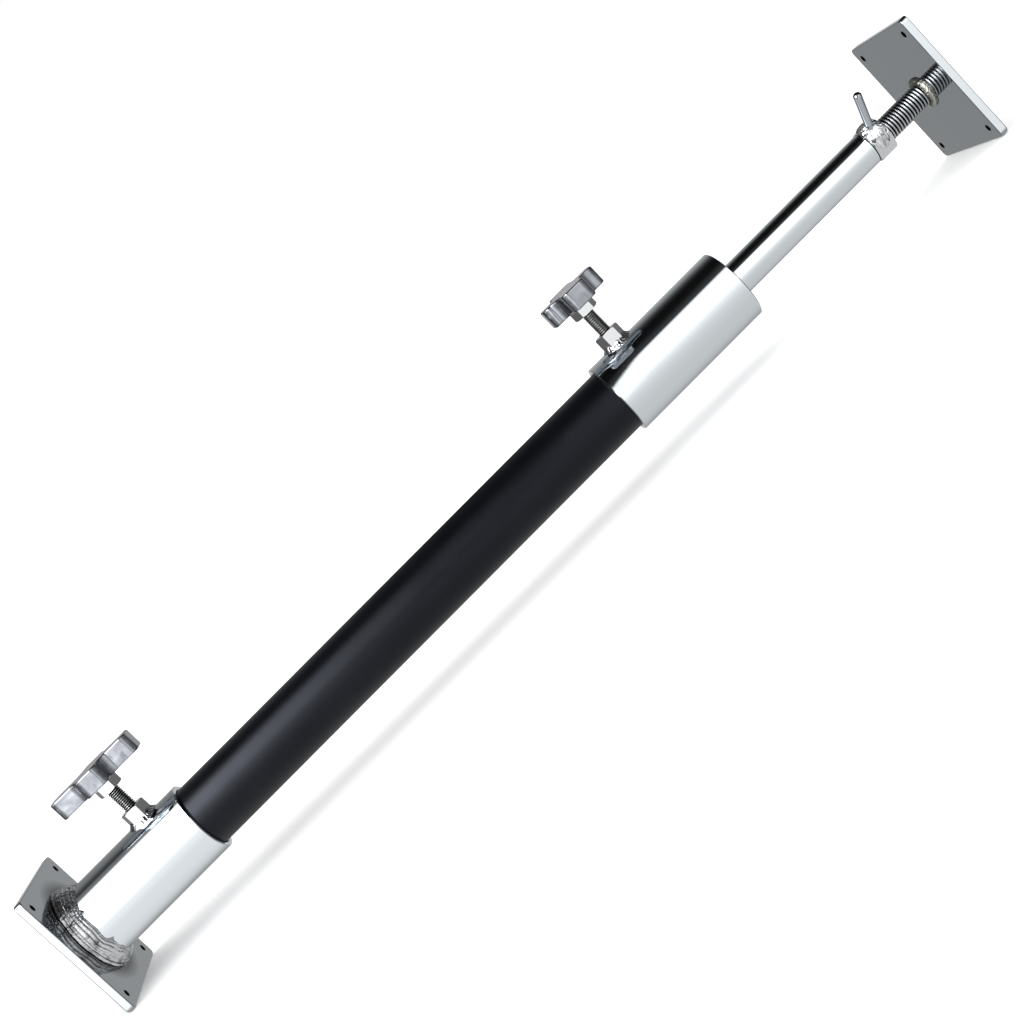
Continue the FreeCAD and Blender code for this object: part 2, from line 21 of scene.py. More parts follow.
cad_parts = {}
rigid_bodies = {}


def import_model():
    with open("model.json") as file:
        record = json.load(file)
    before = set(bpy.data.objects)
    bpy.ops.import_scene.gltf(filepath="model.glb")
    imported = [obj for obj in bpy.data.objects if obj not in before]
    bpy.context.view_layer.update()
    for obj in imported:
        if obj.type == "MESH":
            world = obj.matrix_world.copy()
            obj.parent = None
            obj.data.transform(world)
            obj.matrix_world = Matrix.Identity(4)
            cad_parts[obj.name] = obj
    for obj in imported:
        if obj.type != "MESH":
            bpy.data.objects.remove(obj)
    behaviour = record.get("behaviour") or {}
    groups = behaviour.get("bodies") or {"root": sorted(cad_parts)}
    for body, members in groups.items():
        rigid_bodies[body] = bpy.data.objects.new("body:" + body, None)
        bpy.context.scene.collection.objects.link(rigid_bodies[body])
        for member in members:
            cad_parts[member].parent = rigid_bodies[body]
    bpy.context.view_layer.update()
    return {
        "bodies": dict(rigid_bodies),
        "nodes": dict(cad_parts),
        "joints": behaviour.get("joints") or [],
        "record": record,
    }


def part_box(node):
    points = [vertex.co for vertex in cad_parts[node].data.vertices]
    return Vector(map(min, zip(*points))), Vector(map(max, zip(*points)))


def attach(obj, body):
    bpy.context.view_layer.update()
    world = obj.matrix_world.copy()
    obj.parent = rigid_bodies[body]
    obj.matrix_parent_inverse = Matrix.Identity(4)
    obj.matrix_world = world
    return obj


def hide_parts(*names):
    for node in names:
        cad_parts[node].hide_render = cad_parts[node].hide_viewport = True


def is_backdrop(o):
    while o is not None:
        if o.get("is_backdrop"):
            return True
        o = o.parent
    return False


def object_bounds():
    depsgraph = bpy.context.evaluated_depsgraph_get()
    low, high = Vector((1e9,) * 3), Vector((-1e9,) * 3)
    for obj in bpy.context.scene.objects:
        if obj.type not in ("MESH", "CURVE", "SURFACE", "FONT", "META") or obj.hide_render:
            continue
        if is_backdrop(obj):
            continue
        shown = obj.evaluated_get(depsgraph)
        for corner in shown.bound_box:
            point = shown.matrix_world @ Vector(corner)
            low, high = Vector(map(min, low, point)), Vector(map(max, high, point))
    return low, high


Node = bpy.types.Node
Socket = bpy.types.NodeSocket
Sizes = dict[str, Socket]
Stops = tuple[tuple[float, float], ...]

LOG = logging.getLogger("pull_up_bar")
MM = 0.001
FULL_TURN = 2 * math.pi
MATH = "ShaderNodeMath"
VECTOR_MATH = "ShaderNodeVectorMath"
RANGE = "ShaderNodeMapRange"
NOISE = "ShaderNodeTexNoise"
MIX = "ShaderNodeMix"
BUMP = "ShaderNodeBump"
# Points of a shape that are closer than this become one.
MERGE = 0.001 * MM


class Body(Enum):
    """The moving bodies that pieces ride on."""

    BASE = "base"
    SOCKET_KNOB = "socket_knob"
    SLEEVE = "sleeve"
    SLEEVE_KNOB = "sleeve_knob"
    LEVER_NUT = "lever_nut"
    JACK = "jack"


class Slot(Enum):
    """The names of two of the record's material slots."""

    WELD = "weld_bead"
    SCREW = "screw_steel"


class Axis(Enum):
    """The axis that a piece was turned or drawn along: none lies along Y."""

    X = 0
    Z = 2


def linear(colour: str) -> tuple[float, float, float, float]:
    """Turns an sRGB hex colour to linear light.

    Args:
        colour: Six hex digits after a hash sign.

    Returns:
        Linear red, green and blue, and an alpha of one.
    """
    channels = [int(colour[i : i + 2], 16) / 255 for i in (1, 3, 5)]
    red, green, blue = (c / 12.92 if c <= 0.04045 else ((c + 0.055) / 1.055) ** 2.4 for c in channels)
    return red, green, blue, 1.0


@dataclass
class Nodes:
    """A node tree that is being built."""

    tree: bpy.types.NodeTree

    def add(self, kind: str, *inputs: Any, **settings: Any) -> Node:
        """Adds a node with its settings and links.

        Args:
            kind: The node's type name.
            *inputs: What goes into its live sockets in order: a node, a socket, a value, or None to skip one.
            **settings: The node's own properties.

        Returns:
            The new node.
        """
        node = self.tree.nodes.new(kind)
        for key, value in settings.items():
            setattr(node, key, value)
        for socket, source in zip([s for s in node.inputs if s.enabled], inputs):
            if isinstance(source, Node):
                source = next(s for s in source.outputs if s.enabled)
            if isinstance(source, Socket):
                self.tree.links.new(source, socket)
            elif source is not None:
                socket.default_value = source
        return node

    def feed(self, shader: Node, patterns: dict[str, Node]) -> None:
        """Links patterns to a shader.

        Args:
            shader: The shader.
            patterns: The node that goes into each of its sockets, by the socket's name.
        """
        for name, source in patterns.items():
            self.tree.links.new(next(s for s in source.outputs if s.enabled), shader.inputs[name])

    def off_axis(self, place: Node | Socket, centre: tuple[float, float, float], along: Axis) -> Socket:
        """Adds the distance of each point from an axis.

        Args:
            place: The points.
            centre: A point that the axis goes through.
            along: The way that it lies.

        Returns:
            The distance.
        """
        across = [1.0, 1.0, 1.0]
        across[along.value] = 0.0
        offset = self.add(VECTOR_MATH, place, centre, operation="SUBTRACT")
        flat = self.add(VECTOR_MATH, offset, across, operation="MULTIPLY")
        return self.add(VECTOR_MATH, flat, operation="LENGTH").outputs["Value"]

    def tool_lines(self, place: Socket, along: Axis, gap: float, breaks: float) -> Node:
        """Adds noise that is drawn out into fine lines round an axis, as a tool or a buff leaves them.

        Args:
            place: The points.
            along: The axis.
            gap: How far apart the lines are.
            breaks: How often a line changes in a metre of its length.

        Returns:
            The noise.
        """
        scale = [breaks, breaks, breaks]
        scale[along.value] = 1 / gap
        drawn_out = self.add("ShaderNodeMapping", place, None, None, scale)
        return self.add(NOISE, drawn_out, 1.0, 2.0, 0.5)

    def on_circle(self, turn: Node, radius: Node | Socket | float) -> tuple[Node, Node]:
        """Adds a point's two coordinates on a circle.

        Args:
            turn: The share of a full turn at which it lies.
            radius: The circle's radius.

        Returns:
            The coordinates across and up.
        """
        angle = self.add(MATH, turn, FULL_TURN, operation="MULTIPLY")
        east = self.add(MATH, self.add(MATH, angle, operation="COSINE"), radius, operation="MULTIPLY")
        north = self.add(MATH, self.add(MATH, angle, operation="SINE"), radius, operation="MULTIPLY")
        return east, north


# ---- Finishes ----


@dataclass(frozen=True)
class Finish:
    """What every finish has: a name, a base colour and how rough it is. All but one are metals."""

    METALLIC: ClassVar[float] = 1.0

    name: str
    colour: str
    roughness: float

    def start(self) -> tuple[bpy.types.Material, Nodes, Node, Socket]:
        """Makes a material with one shader.

        Returns:
            The material, its tree, its shader and the object coordinates in metres.
        """
        material = bpy.data.materials.new(self.name)
        material.use_nodes = True
        material.node_tree.nodes.clear()
        nodes = Nodes(material.node_tree)
        shader = nodes.add("ShaderNodeBsdfPrincipled", linear(self.colour), self.METALLIC, self.roughness)
        nodes.add("ShaderNodeOutputMaterial", shader)
        place = nodes.add("ShaderNodeTexCoord").outputs["Object"]
        return material, nodes, shader, place

    def material(self) -> bpy.types.Material:
        """Builds the material."""
        raise NotImplementedError


@dataclass(frozen=True)
class BrightChrome(Finish):
    """Bright chrome plated over polished steel.

    The eye gets a sharp mirror with a faint blue cast, buffing lines that run round the work, and a soft
    cloudiness where the buff lifted.
    """

    cloud_mm: float = 18.0
    cloud: float = 0.02
    line_mm: float = 0.5
    line_breaks: float = 12.0
    line_bump: float = 0.03
    wave_mm: float = 30.0
    wave_bump: float = 0.012
    along: Axis = Axis.X

    def tint(self, nodes: Nodes, place: Socket) -> dict[str, Node]:
        """Adds what changes the metal from place to place, which on plain chrome is nothing."""
        return {}

    def material(self) -> bpy.types.Material:
        """Builds the material."""
        material, nodes, shader, place = self.start()
        lines = nodes.tool_lines(place, self.along, self.line_mm * MM, self.line_breaks)
        clouds = nodes.add(NOISE, place, 1 / (self.cloud_mm * MM), 3.0, 0.55)
        waves = nodes.add(NOISE, place, 1 / (self.wave_mm * MM), 0.0, 0.4)
        dullest = self.roughness + self.cloud
        cloudy = nodes.add(RANGE, clouds, 0.4, 0.75, self.roughness, dullest)
        streaks = nodes.add(RANGE, lines, 0.3, 0.7, 0.8, 1.25)
        rough = nodes.add(MATH, cloudy, streaks, operation="MULTIPLY")
        broad = nodes.add(BUMP, self.wave_bump, 1 * MM, None, waves)
        fine = nodes.add(BUMP, self.line_bump, 0.05 * MM, None, lines, broad)
        nodes.feed(shader, {"Roughness": rough, "Normal": fine} | self.tint(nodes, place))
        return material


@dataclass(frozen=True)
class DrilledPlate(BrightChrome):
    """Chrome plate on rolled steel plate, cut square and drilled near its corners.

    The eye gets greyer faces that mirror less than the tubes, a painted highlight along the edges, painted
    near-black shade in the screw holes, and a ring of painted shade round the weld.
    """

    colour: str = "#A9AEB1"
    roughness: float = 0.04
    cloud: float = 0.04
    line_mm: float = 0.9
    along: Axis = Axis.Z
    half_side: float = 51.5 * MM
    hole_from_middle: float = 42 * MM
    hole_radius: float = 2.5 * MM
    hole_rim: float = 0.15 * MM
    edge_width: float = 0.3 * MM
    edge_fade: float = 0.2 * MM
    # Painted shade: the face is darkened in a soft ring round the weld, standing in for the shadow and dark
    # reflections there.
    scorch_radius: float = 0.0
    scorch_fade: float = 9 * MM
    # Painted highlight: the bright colour along the plate's edges.
    edge_colour: str = "#E6ECEF"
    # Painted shade: the dark colour of the ring round the weld.
    scorch_colour: str = "#5C5E60"
    # Painted shade: the near-black colour inside the screw holes.
    bore_colour: str = "#060708"

    def tint(self, nodes: Nodes, place: Socket) -> dict[str, Node]:
        """Adds the painted shade round the weld, the painted highlight along the edges and the painted shade
        in the holes.

        Args:
            nodes: The material's tree.
            place: The object coordinates.

        Returns:
            The colour, and how metallic each point is, which is zero in the painted shade of the holes.
        """
        corner = (0.0, self.hole_from_middle, self.hole_from_middle)
        folded = nodes.add(VECTOR_MATH, place, operation="ABSOLUTE")
        from_hole = nodes.off_axis(folded, corner, Axis.X)
        from_weld = nodes.off_axis(folded, (0.0, 0.0, 0.0), Axis.X)
        sides = nodes.add("ShaderNodeSeparateXYZ", folded)
        from_middle = nodes.add(MATH, sides.outputs["Y"], sides.outputs["Z"], operation="MAXIMUM")
        weld_shade_end = self.scorch_radius + self.scorch_fade
        edge = self.half_side - self.edge_width
        rim = self.hole_radius + self.hole_rim
        # Painted shade: darker towards the weld; clean is one away from it.
        clean = nodes.add(RANGE, from_weld, self.scorch_radius, weld_shade_end, 0.0, 1.0)
        # Painted highlight: a brighter band along the plate's edges.
        on_edge_highlight = nodes.add(RANGE, from_middle, edge, edge + self.edge_fade, 0.0, 1.0)
        # Painted shade: the bores are near black and not metallic; plated is one outside them.
        plated = nodes.add(RANGE, from_hole, rim, rim + self.hole_rim, 0.0, 1.0)
        face = nodes.add(MIX, clean, linear(self.scorch_colour), linear(self.colour), data_type="RGBA")
        skin = nodes.add(MIX, on_edge_highlight, face, linear(self.edge_colour), data_type="RGBA")
        tone = nodes.add(MIX, plated, linear(self.bore_colour), skin, data_type="RGBA")
        return {"Base Color": tone, "Metallic": plated}


@dataclass(frozen=True)
class PlatedWeld(Finish):
    """A weld bead that was left as laid and then plated.

    The eye gets a bright but broken metal skin: fine ripples and spatter that sparkle, and darker,
    rougher hollows where the polish never reached, sometimes with a straw tint from the heat.
    """

    hollow_colour: str = "#707376"
    grain_mm: float = 1.1
    grain_bump: float = 0.4
    hollow_roughness: float = 0.22

    def material(self) -> bpy.types.Material:
        """Builds the material."""
        material, nodes, shader, place = self.start()
        roughest = self.roughness + self.hollow_roughness
        grain = nodes.add(NOISE, place, 1 / (self.grain_mm * MM), 3.0, 0.6)
        patches = nodes.add(NOISE, place, 1 / (5 * self.grain_mm * MM), 2.0, 0.5)
        hollow = nodes.add(RANGE, patches, 0.52, 0.72, 0.0, 1.0)
        rough = nodes.add(RANGE, patches, 0.35, 0.7, self.roughness, roughest)
        tone = nodes.add(MIX, hollow, linear(self.colour), linear(self.hollow_colour), data_type="RGBA")
        bump = nodes.add(BUMP, self.grain_bump, 0.25 * MM, None, grain)
        nodes.feed(shader, {"Base Color": tone, "Roughness": rough, "Normal": bump})
        return material


@dataclass(frozen=True)
class PowderCoat(Finish):
    """Satin black powder coat, baked on a steel tube.

    The eye gets a deep, slightly blue black with a broad soft sheen, a fine orange peel and faint
    lighter patches where hands and packing have rubbed it.
    """

    METALLIC: ClassVar[float] = 0.0

    rubbed_colour: str = "#0A0B0E"
    rub_mm: float = 40.0
    shine: float = 0.36
    shine_colour: str = "#DCE2F4"
    peel_mm: float = 0.9
    peel_bump: float = 0.06

    def material(self) -> bpy.types.Material:
        """Builds the material."""
        material, nodes, shader, place = self.start()
        shader.inputs["Specular IOR Level"].default_value = self.shine
        shader.inputs["Specular Tint"].default_value = linear(self.shine_colour)
        peel = nodes.add(NOISE, place, 1 / (self.peel_mm * MM), 2.0, 0.5)
        rubs = nodes.add(NOISE, place, 1 / (self.rub_mm * MM), 4.0, 0.6)
        rubbed = nodes.add(RANGE, rubs, 0.5, 0.75, 0.0, 1.0)
        rough = nodes.add(RANGE, rubs, 0.3, 0.7, self.roughness + 0.03, self.roughness - 0.03)
        tone = nodes.add(MIX, rubbed, linear(self.colour), linear(self.rubbed_colour), data_type="RGBA")
        bump = nodes.add(BUMP, self.peel_bump, 0.06 * MM, None, peel)
        nodes.feed(shader, {"Base Color": tone, "Roughness": rough, "Normal": bump})
        return material


@dataclass(frozen=True)
class CutThread(Finish):
    """A plated steel thread, cut.

    The eye gets bright crests, painted near-black shade in the roots, and fine tool lines that run
    round with the cut.
    """

    # Painted shade: the near-black colour of the thread's roots.
    root_colour: str = "#0B0C0D"
    centre: tuple[float, float, float] = (0.0, 0.0, 0.0)
    along: Axis = Axis.X
    root_radius: float = 4 * MM
    crest_radius: float = 5 * MM
    line_mm: float = 0.2
    line_breaks: float = 60.0

    def material(self) -> bpy.types.Material:
        """Builds the material."""
        material, nodes, shader, place = self.start()
        depth = self.crest_radius - self.root_radius
        # Painted shade: the colour darkens towards the thread's roots; clean is one on the crests.
        shade_thins_from = self.root_radius + 0.3 * depth
        shade_gone_at = self.root_radius + 0.8 * depth
        radius = nodes.off_axis(place, self.centre, self.along)
        clean = nodes.add(RANGE, radius, shade_thins_from, shade_gone_at, 0.0, 1.0)
        tone = nodes.add(MIX, clean, linear(self.root_colour), linear(self.colour), data_type="RGBA")
        lines = nodes.tool_lines(place, self.along, self.line_mm * MM, self.line_breaks)
        rough = nodes.add(RANGE, lines, 0.3, 0.7, self.roughness - 0.04, self.roughness + 0.06)
        bump = nodes.add(BUMP, 0.15, 0.05 * MM, None, lines)
        nodes.feed(shader, {"Base Color": tone, "Roughness": rough, "Normal": bump})
        return material


@dataclass(frozen=True)
class CastAlloy(Finish):
    """Die-cast zinc, tumbled smooth and nickel plated.

    The eye gets a cool grey metal with broad, clean reflections, a faint cast ripple and slightly
    duller spots.
    """

    pit_colour: str = "#8A8D94"
    pit_mm: float = 2.5
    skin_mm: float = 17.0
    skin_bump: float = 0.8

    def material(self) -> bpy.types.Material:
        """Builds the material."""
        material, nodes, shader, place = self.start()
        skin = nodes.add(NOISE, place, 1 / (self.skin_mm * MM), 2.0, 0.45)
        pits = nodes.add(NOISE, place, 1 / (self.pit_mm * MM), 2.0, 0.6)
        pitted = nodes.add(RANGE, pits, 0.6, 0.75, 0.0, 0.5)
        rough = nodes.add(RANGE, skin, 0.3, 0.7, self.roughness, self.roughness + 0.08)
        tone = nodes.add(MIX, pitted, linear(self.colour), linear(self.pit_colour), data_type="RGBA")
        bump = nodes.add(BUMP, self.skin_bump, 2 * MM, None, skin)
        nodes.feed(shader, {"Base Color": tone, "Roughness": rough, "Normal": bump})
        return material


@dataclass(frozen=True)
class TurnedMetal(Finish):
    """Metal left as it came off the lathe.

    The eye gets close rings round the piece's axis and a streaked, half-bright shine.
    """

    feed_mm: float = 0.3
    line_breaks: float = 40.0
    along: Axis = Axis.X

    def material(self) -> bpy.types.Material:
        """Builds the material."""
        material, nodes, shader, place = self.start()
        rings = nodes.tool_lines(place, self.along, self.feed_mm * MM, self.line_breaks)
        rough = nodes.add(RANGE, rings, 0.3, 0.7, self.roughness - 0.06, self.roughness + 0.1)
        bump = nodes.add(BUMP, 0.3, 0.05 * MM, None, rings)
        nodes.feed(shader, {"Roughness": rough, "Normal": bump})
        return material


# ---- Shapes that follow a rule ----


@dataclass(frozen=True, kw_only=True)
class RuledShape:
    """A mesh that a Geometry Nodes tree works out from named sizes.

    Each field of a shape becomes a named input of its tree. The shape is a grid of so many sides and rows
    that is rolled up round the Z axis.
    """

    SOCKETS: ClassVar[dict[type, str]] = {float: "NodeSocketFloat", int: "NodeSocketInt"}

    sides: int
    rows: int

    def plant(self, nodes: Nodes, size: Sizes) -> Node:
        """Adds the nodes that make the shape.

        Args:
            nodes: The tree.
            size: The tree's inputs by field name.

        Returns:
            The node that gives the mesh.
        """
        raise NotImplementedError

    def lattice(self, nodes: Nodes, size: Sizes) -> tuple[Node, Node, Node]:
        """Adds a flat grid to be rolled up.

        Args:
            nodes: The tree.
            size: The tree's inputs.

        Returns:
            The grid, the share of a full turn at each point, and the number of its row.
        """
        lines = nodes.add(MATH, size["sides"], 1.0, operation="ADD")
        grid = nodes.add("GeometryNodeMeshGrid", 1.0, 1.0, lines, size["rows"])
        spot = nodes.add("ShaderNodeSeparateXYZ", nodes.add("GeometryNodeInputPosition"))
        turn = nodes.add(MATH, spot.outputs["X"], 0.5, operation="ADD")
        share = nodes.add(MATH, spot.outputs["Y"], 0.5, operation="ADD")
        last = nodes.add(MATH, size["rows"], 1.0, operation="SUBTRACT")
        row = nodes.add(MATH, share, last, operation="MULTIPLY")
        return grid, turn, row

    def skin(self, nodes: Nodes, size: Sizes, row: Node) -> tuple[Node, Node]:
        """Tells the rows that show from the first and last, which close the shape.

        Args:
            nodes: The tree.
            size: The tree's inputs.
            row: The number of each point's row.

        Returns:
            How far across the skin each point is, and one on the skin but zero on the closing rows.
        """
        span = nodes.add(MATH, size["rows"], 3.0, operation="SUBTRACT")
        past = nodes.add(MATH, row, 1.0, operation="SUBTRACT")
        share = nodes.add(MATH, past, span, operation="DIVIDE", use_clamp=True)
        end = nodes.add(MATH, size["rows"], 1.5, operation="SUBTRACT")
        after = nodes.add(MATH, row, 0.5, operation="GREATER_THAN")
        before = nodes.add(MATH, row, end, operation="LESS_THAN")
        shows = nodes.add(MATH, after, before, operation="MULTIPLY")
        return share, shows

    def roll_up(self, nodes: Nodes, grid: Node, turn: Node, radius: Node, height: Node) -> Node:
        """Rolls the flat grid up round the Z axis.

        Args:
            nodes: The tree.
            grid: The flat grid.
            turn: The share of a full turn at each point.
            radius: The distance from the axis.
            height: The distance along it.

        Returns:
            The node that gives the rolled mesh.
        """
        east, north = nodes.on_circle(turn, radius)
        place = nodes.add("ShaderNodeCombineXYZ", east, north, height)
        return nodes.add("GeometryNodeSetPosition", grid, None, place)

    def grow(self, name: str, material: bpy.types.Material, place: Matrix) -> bpy.types.Object:
        """Runs the tree and keeps its result as a plain mesh.

        Args:
            name: The new piece's name.
            material: Its finish.
            place: Where its own frame lies in the row frame.

        Returns:
            The piece, with its place in its mesh.
        """
        tree = bpy.data.node_groups.new(name, "GeometryNodeTree")
        tree.interface.new_socket("Geometry", in_out="OUTPUT", socket_type="NodeSocketGeometry")
        given: dict[str, Any] = {}
        for item in dataclasses.fields(self):
            value = getattr(self, item.name)
            kind = self.SOCKETS[type(value)]
            socket = tree.interface.new_socket(item.name, in_out="INPUT", socket_type=kind)
            given[socket.identifier] = value
        socket = tree.interface.new_socket("finish", in_out="INPUT", socket_type="NodeSocketMaterial")
        given[socket.identifier] = material
        nodes = Nodes(tree)
        source = nodes.add("NodeGroupInput")
        size = {item.name: source.outputs[item.name] for item in dataclasses.fields(self)}
        merged = nodes.add("GeometryNodeMergeByDistance", self.plant(nodes, size), None, MERGE)
        smooth = nodes.add("GeometryNodeSetShadeSmooth", merged)
        real = nodes.add("GeometryNodeRealizeInstances", smooth)
        dressed = nodes.add("GeometryNodeSetMaterial", real, None, source.outputs["finish"])
        nodes.add("NodeGroupOutput", dressed)
        host = bpy.data.objects.new(name + "_host", bpy.data.meshes.new(name + "_host"))
        bpy.context.scene.collection.objects.link(host)
        modifier = host.modifiers.new("Rule", "NODES")
        modifier.node_group = tree
        for identifier, value in given.items():
            modifier[identifier] = value
        ready = host.evaluated_get(bpy.context.evaluated_depsgraph_get())
        mesh = bpy.data.meshes.new_from_object(ready)
        host.modifiers.remove(modifier)
        bpy.data.objects.remove(host)
        mesh.transform(place)
        turn_outwards(mesh)
        piece = bpy.data.objects.new(name, mesh)
        bpy.context.scene.collection.objects.link(piece)
        return piece


@dataclass(frozen=True, kw_only=True)
class Thread(RuledShape):
    """A right-hand metric thread along +Z, with an optional plain tip at its foot."""

    DEPTH_OF_PITCH: ClassVar[float] = 0.61
    ROWS_PER_PITCH: ClassVar[int] = 12

    length: float
    pitch: float
    crest_radius: float
    root_radius: float
    tip_length: float = 0.0
    tip_radius: float = 0.0
    crest_flat: float = 0.08
    root_flat: float = 0.38

    @classmethod
    def cut(cls, length: float, pitch: float, crest: float, **others: Any) -> Thread:
        """Works out a thread's root and rows.

        Args:
            length: The screw's length.
            pitch: The thread's pitch.
            crest: The radius of its crests.
            **others: Its other sizes.

        Returns:
            The thread.
        """
        root = crest - cls.DEPTH_OF_PITCH * pitch
        rows = int(cls.ROWS_PER_PITCH * length / pitch)
        return cls(length=length, pitch=pitch, crest_radius=crest, root_radius=root, rows=rows, **others)

    def plant(self, nodes: Nodes, size: Sizes) -> Node:
        """Adds the nodes that cut the thread."""
        grid, turn, row = self.lattice(nodes, size)
        share, shows = self.skin(nodes, size, row)
        along = nodes.add(MATH, share, size["length"], operation="MULTIPLY")
        turns = nodes.add(MATH, along, size["pitch"], operation="DIVIDE")
        phase = nodes.add(MATH, nodes.add(MATH, turns, turn, operation="SUBTRACT"), operation="FRACT")
        off_crest = nodes.add(MATH, phase, 0.5, operation="SUBTRACT")
        ridge = nodes.add(MATH, off_crest, operation="ABSOLUTE")
        flats = (size["crest_flat"], size["root_flat"])
        radius = nodes.add(RANGE, ridge, *flats, size["crest_radius"], size["root_radius"])
        to_end = nodes.add(MATH, size["length"], along, operation="SUBTRACT")
        from_tip = nodes.add(MATH, along, size["tip_length"], operation="SUBTRACT")
        for distance in (to_end, from_tip):
            bevel = nodes.add(MATH, distance, size["root_radius"], operation="ADD")
            radius = nodes.add(MATH, radius, bevel, operation="MINIMUM")
        on_tip = nodes.add(MATH, from_tip, 0.0, operation="LESS_THAN")
        radius = nodes.add(MIX, on_tip, radius, size["tip_radius"])
        radius = nodes.add(MATH, radius, shows, operation="MULTIPLY")
        return self.roll_up(nodes, grid, turn, radius, along)


@dataclass(frozen=True, kw_only=True)
class Bead(RuledShape):
    """A weld bead, with passes side by side, ripples along each of them and soft lumps."""

    radius: float
    passes: float = 1.0
    pass_depth: float = 0.0
    ripples: float
    ripple_depth: float = 0.3 * MM
    lump_scale: float
    lump_depth: float
    seed: float = 0.0

    def relief(self, nodes: Nodes, size: Sizes, turn: Node, share: Node) -> Node:
        """Adds the height of the ripples, passes and lumps above the bead's mean skin.

        Args:
            nodes: The tree.
            size: The tree's inputs.
            turn: The share of a full turn at each point.
            share: How far across the bead each point is.

        Returns:
            The height in metres.
        """
        east, north = nodes.on_circle(turn, size["radius"])
        level = nodes.add(MATH, share, 10 * MM, size["seed"], operation="MULTIPLY_ADD")
        spot = nodes.add("ShaderNodeCombineXYZ", east, north, level)
        lumps = nodes.add(NOISE, spot, size["lump_scale"], 4.0, 0.62)
        above_mean = nodes.add(MATH, lumps, 0.5, operation="SUBTRACT")
        lump = nodes.add(MATH, above_mean, size["lump_depth"], operation="MULTIPLY")
        sweep = nodes.add(MATH, turn, size["ripples"], operation="MULTIPLY")
        bow = nodes.add(MATH, nodes.add(MATH, share, math.pi, operation="MULTIPLY"), operation="SINE")
        shaken = nodes.add(MATH, lumps, 2.0, sweep, operation="MULTIPLY_ADD")
        crescents = nodes.add(MATH, shaken, bow, operation="ADD")
        beat = nodes.add(MATH, crescents, math.pi, operation="MULTIPLY")
        crest = nodes.add(MATH, nodes.add(MATH, beat, operation="SINE"), operation="ABSOLUTE")
        ripple = nodes.add(MATH, crest, size["ripple_depth"], lump, operation="MULTIPLY_ADD")
        across = nodes.add(MATH, share, size["passes"], operation="MULTIPLY")
        lanes = nodes.add(MATH, across, math.pi, operation="MULTIPLY")
        lane = nodes.add(MATH, nodes.add(MATH, lanes, operation="SINE"), operation="ABSOLUTE")
        return nodes.add(MATH, lane, size["pass_depth"], ripple, operation="MULTIPLY_ADD")


@dataclass(frozen=True, kw_only=True)
class RingWeld(Bead):
    """A fillet weld with a wandering edge, round a tube that stands on a flat plate at z = 0."""

    leg_out: float
    leg_along: float
    bulge: float = 0.9
    wander: float = 0.2
    ripples: float = 60.0
    lump_scale: float = 300.0
    lump_depth: float = 1.0 * MM
    sides: int = 360
    rows: int = 26

    def plant(self, nodes: Nodes, size: Sizes) -> Node:
        """Adds the nodes that lay the bead."""
        grid, turn, row = self.lattice(nodes, size)
        share, shows = self.skin(nodes, size, row)
        swing = nodes.add(MATH, share, math.pi / 2, operation="MULTIPLY")
        wander = self.edge_wander(nodes, size, turn)
        relief = self.relief(nodes, size, turn, share)
        legs = []
        for leg, part in (("leg_out", "COSINE"), ("leg_along", "SINE")):
            lean = nodes.add(MATH, swing, operation=part)
            shape = nodes.add(MATH, lean, size["bulge"], operation="POWER")
            full = nodes.add(MATH, size[leg], wander, operation="MULTIPLY")
            reach = nodes.add(MATH, full, shape, operation="MULTIPLY")
            raised = nodes.add(MATH, relief, lean, reach, operation="MULTIPLY_ADD")
            legs.append(nodes.add(MATH, raised, shows, operation="MULTIPLY"))
        out, along = legs
        radius = nodes.add(MATH, size["radius"], out, operation="ADD")
        return self.roll_up(nodes, grid, turn, radius, self.height(nodes, size, turn, radius, along))

    def edge_wander(self, nodes: Nodes, size: Sizes, turn: Node) -> Node:
        """Adds a factor about one that makes the bead's edge wander as it goes round.

        Args:
            nodes: The tree.
            size: The tree's inputs.
            turn: The share of a full turn at each point.

        Returns:
            The factor.
        """
        east, north = nodes.on_circle(turn, 1.0)
        ring = nodes.add("ShaderNodeCombineXYZ", east, north, size["seed"])
        drift = nodes.add(NOISE, ring, 1.8, 1.0, 0.4)
        low = nodes.add(MATH, 1.0, size["wander"], operation="SUBTRACT")
        high = nodes.add(MATH, 1.0, size["wander"], operation="ADD")
        return nodes.add(RANGE, drift, 0.25, 0.75, low, high)

    def height(self, nodes: Nodes, size: Sizes, turn: Node, radius: Node, along: Node) -> Node:
        """Gives each point's height, which above a flat plate is the leg along the tube."""
        return along


@dataclass(frozen=True, kw_only=True)
class SaddleWeld(RingWeld):
    """A flared weld round a boss that stands on the crown of a tube, whose axis is X at z = 0."""

    tube_radius: float
    bulge: float = 2.4
    wander: float = 0.15
    ripples: float = 26.0
    lump_scale: float = 420.0
    lump_depth: float = 0.9 * MM
    sides: int = 220
    rows: int = 22

    def height(self, nodes: Nodes, size: Sizes, turn: Node, radius: Node, along: Node) -> Node:
        """Adds the nodes that lift the bead onto the tube's crown.

        Args:
            nodes: The tree.
            size: The tree's inputs.
            turn: The share of a full turn at each point.
            radius: The distance from the boss's axis.
            along: The leg along the boss.

        Returns:
            The height above the tube's axis.
        """
        sideways = nodes.on_circle(turn, radius)[1]
        squared = nodes.add(MATH, sideways, sideways, operation="MULTIPLY")
        tube = nodes.add(MATH, size["tube_radius"], size["tube_radius"], operation="MULTIPLY")
        crown = nodes.add(MATH, nodes.add(MATH, tube, squared, operation="SUBTRACT"), operation="SQRT")
        return nodes.add(MATH, crown, along, operation="ADD")


